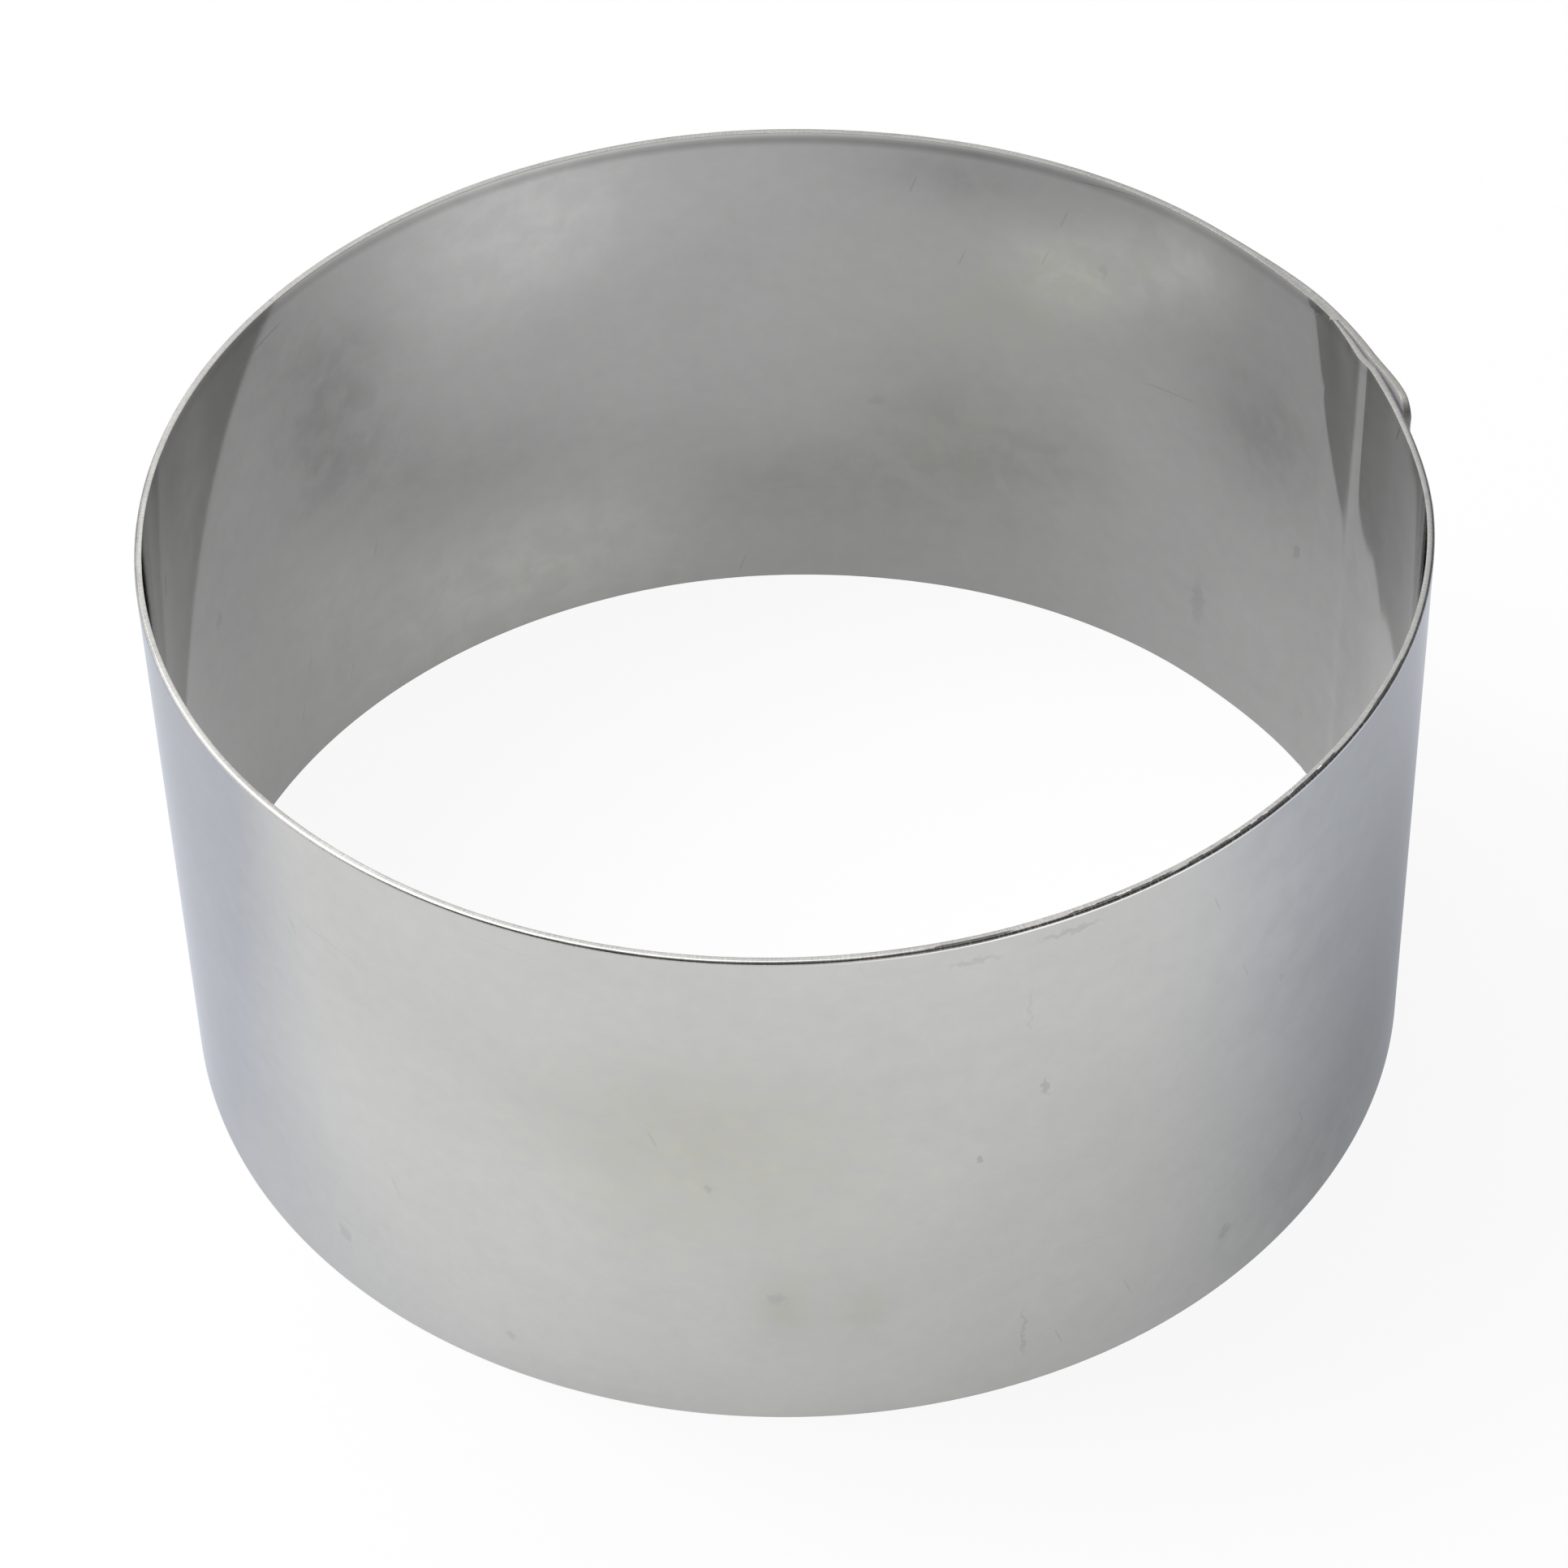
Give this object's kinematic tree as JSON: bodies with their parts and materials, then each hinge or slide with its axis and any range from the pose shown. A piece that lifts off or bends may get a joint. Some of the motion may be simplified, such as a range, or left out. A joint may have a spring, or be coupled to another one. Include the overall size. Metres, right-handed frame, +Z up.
{
  "type": "cake ring",
  "caption": "Round bottomless cake ring of thin satin stainless sheet, rolled to a band and closed by a spot-welded lap.",
  "frame": {"origin": "centre of the ring in the plane of its lower rim, on the surface it stands on", "axes": "+Z up through the ring; -Y towards the viewer; +X right; the lap's outer end stops 11.5 degrees from +X towards +Y"},
  "size_m": [0.1019, 0.102, 0.05],
  "materials": {
    "satin_stainless": "cold-rolled satin stainless sheet with fine scratches, sheared and lightly rounded edges",
    "weld_stainless": "duller fused metal, dished by the electrodes"
  },
  "bodies": {
    "root": {"rolled_band": "satin_stainless", "weld_spot_1": "weld_stainless", "weld_spot_2": "weld_stainless", "weld_spot_3": "weld_stainless", "weld_spot_4": "weld_stainless", "weld_spot_5": "weld_stainless"}
  },
  "joints": []
}
